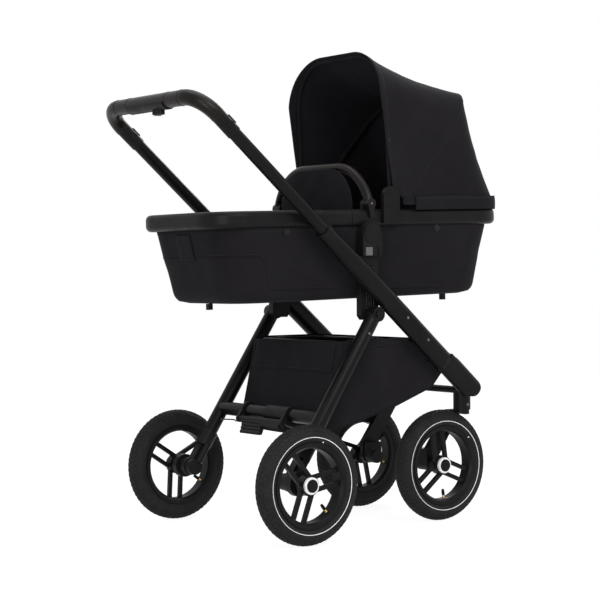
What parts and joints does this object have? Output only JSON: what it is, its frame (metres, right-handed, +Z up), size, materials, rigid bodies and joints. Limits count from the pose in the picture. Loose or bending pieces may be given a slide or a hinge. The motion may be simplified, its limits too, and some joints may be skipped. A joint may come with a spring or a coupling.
{
  "type": "baby stroller",
  "caption": "Pram with a folding frame on air-filled wheels with swivel casters, telescopic push handle, shopping basket and a lift-off carrycot with apron and folding hood.",
  "frame": {"origin": "centre of the bounding box on the ground plane", "axes": "+Z up; the pram travels towards -Y with the casters in front and the push handle at +Y; +X is its left side"},
  "size_m": [0.612, 0.9819, 1.1763],
  "materials": {
    "frame_metal": "satin black coated tube",
    "frame_plastic": "satin",
    "wire": "satin",
    "cloth": "matte woven",
    "mattress": "matte woven",
    "grip": "satin grained",
    "button": "satin",
    "tyre": "matte",
    "white_ring": "gloss",
    "cable": "matte"
  },
  "bodies": {
    "chassis": {"main_tube_left": "frame_metal", "main_tube_right": "frame_metal", "front_caps": "frame_plastic", "tube_collars": "frame_plastic", "front_crossbar": "frame_metal", "swivel_housing_left": "frame_plastic", "swivel_housing_right": "frame_plastic", "leg_bracket_left": "frame_plastic", "leg_bracket_right": "frame_plastic", "basket_frame": "wire", "basket": "cloth"},
    "handle": {"upper_tube_left": "frame_metal", "upper_tube_right": "frame_metal", "handle_brackets": "frame_plastic", "handle_bar": "frame_metal", "handle_grip": "grip", "handle_housing": "frame_plastic"},
    "handle_button": {"handle_button": "button"},
    "rear_frame": {"rear_leg_left": "frame_metal", "rear_leg_right": "frame_metal", "rear_crossbar": "frame_metal", "axle_arm_left": "frame_plastic", "axle_arm_right": "frame_plastic", "pedal_mount": "frame_plastic", "brake_cable": "cable"},
    "brake_pedal": {"brake_pedal": "frame_plastic"},
    "rear_wheel_left": {"rear_tyre_left": "tyre", "rear_rim_left": "frame_plastic", "rear_hub_cap_left": "white_ring"},
    "fork_left": {"fork_left": "frame_plastic"},
    "front_wheel_left": {"front_tyre_left": "tyre", "front_rim_left": "frame_plastic", "front_hub_cap_left": "white_ring"},
    "rear_wheel_right": {"rear_tyre_right": "tyre", "rear_rim_right": "frame_plastic", "rear_hub_cap_right": "white_ring"},
    "fork_right": {"fork_right": "frame_plastic"},
    "front_wheel_right": {"front_tyre_right": "tyre", "front_rim_right": "frame_plastic", "front_hub_cap_right": "white_ring"},
    "cot": {"cot_rim": "frame_plastic", "cot_body": "cloth", "mattress": "mattress", "cot_feet": "frame_plastic", "cot_adapter_left": "frame_plastic", "cot_adapter_right": "frame_plastic", "apron": "cloth", "apron_flap": "cloth", "hood_clamp_left": "frame_plastic", "hood_clamp_right": "frame_plastic", "hood_rear_panel": "cloth"},
    "adapter_button_left": {"adapter_button_left": "button"},
    "adapter_button_right": {"adapter_button_right": "button"},
    "hood_mid": {"hood_mid_bow": "frame_plastic", "hood_front_panel": "cloth"},
    "hood_front": {"hood_front_bow": "frame_plastic"},
    "carry_handle": {"carry_handle": "grip"}
  },
  "joints": [
    {"name": "rear_fold", "type": "hinge", "parent": "chassis", "child": "rear_frame", "pos_m": [0, -0.02677, 0.527], "axis": [1, 0, 0], "range_deg": [-34, 0], "deforming": ["basket"]},
    {"name": "handle_slide", "type": "slide", "parent": "chassis", "child": "handle", "axis": [0, 0.7547, 0.6561], "range_m": [-0.2, 0]},
    {"name": "handle_button_press", "type": "slide", "parent": "handle", "child": "handle_button", "axis": [0, 0, 1], "range_m": [0, 0.003], "stiffness_N_per_m": 500, "springref_m": -0.001},
    {"name": "pedal_rock", "type": "hinge", "parent": "rear_frame", "child": "brake_pedal", "pos_m": [0, 0.16275, 0.2662], "axis": [1, 0, 0], "range_deg": [-10, 10]},
    {"name": "rear_spin_left", "type": "hinge", "parent": "rear_frame", "child": "rear_wheel_left", "pos_m": [0.282, 0.23123, 0.14], "axis": [1, 0, 0], "continuous": true},
    {"name": "rear_spin_right", "type": "hinge", "parent": "rear_frame", "child": "rear_wheel_right", "pos_m": [-0.282, 0.23123, 0.14], "axis": [1, 0, 0], "continuous": true},
    {"name": "caster_swivel_left", "type": "hinge", "parent": "chassis", "child": "fork_left", "pos_m": [0.163, -0.34877, 0.276], "axis": [0, 0, 1], "continuous": true},
    {"name": "front_spin_left", "type": "hinge", "parent": "fork_left", "child": "front_wheel_left", "pos_m": [0.163, -0.27377, 0.14], "axis": [1, 0, 0], "continuous": true},
    {"name": "caster_swivel_right", "type": "hinge", "parent": "chassis", "child": "fork_right", "pos_m": [-0.163, -0.34877, 0.276], "axis": [0, 0, 1], "continuous": true},
    {"name": "front_spin_right", "type": "hinge", "parent": "fork_right", "child": "front_wheel_right", "pos_m": [-0.163, -0.27377, 0.14], "axis": [1, 0, 0], "continuous": true},
    {"name": "cot_lift", "type": "slide", "parent": "chassis", "child": "cot", "axis": [0, 0, 1], "range_m": [0, 0.09]},
    {"name": "adapter_press_left", "type": "slide", "parent": "cot", "child": "adapter_button_left", "axis": [-1, 0, 0], "range_m": [0, 0.004], "stiffness_N_per_m": 300, "springref_m": -0.001},
    {"name": "adapter_press_right", "type": "slide", "parent": "cot", "child": "adapter_button_right", "axis": [1, 0, 0], "range_m": [0, 0.004], "stiffness_N_per_m": 300, "springref_m": -0.001},
    {"name": "hood_fold", "type": "hinge", "parent": "cot", "child": "hood_mid", "pos_m": [0, -0.10197, 0.79267], "axis": [1, 0, 0], "range_deg": [0, 38], "deforming": ["hood_rear_panel"]},
    {"name": "hood_front_fold", "type": "hinge", "parent": "hood_mid", "child": "hood_front", "pos_m": [0, -0.10197, 0.79267], "axis": [1, 0, 0], "range_deg": [0, 38], "deforming": ["hood_front_panel"]},
    {"name": "carry_fold", "type": "hinge", "parent": "cot", "child": "carry_handle", "pos_m": [0, -0.02989, 0.79478], "axis": [-1, 0, 0], "range_deg": [0, 70], "deforming": ["apron_flap"]}
  ],
  "couplings": [
    {"joint": "hood_front_fold", "follows": "hood_fold", "ratio": 1}
  ]
}
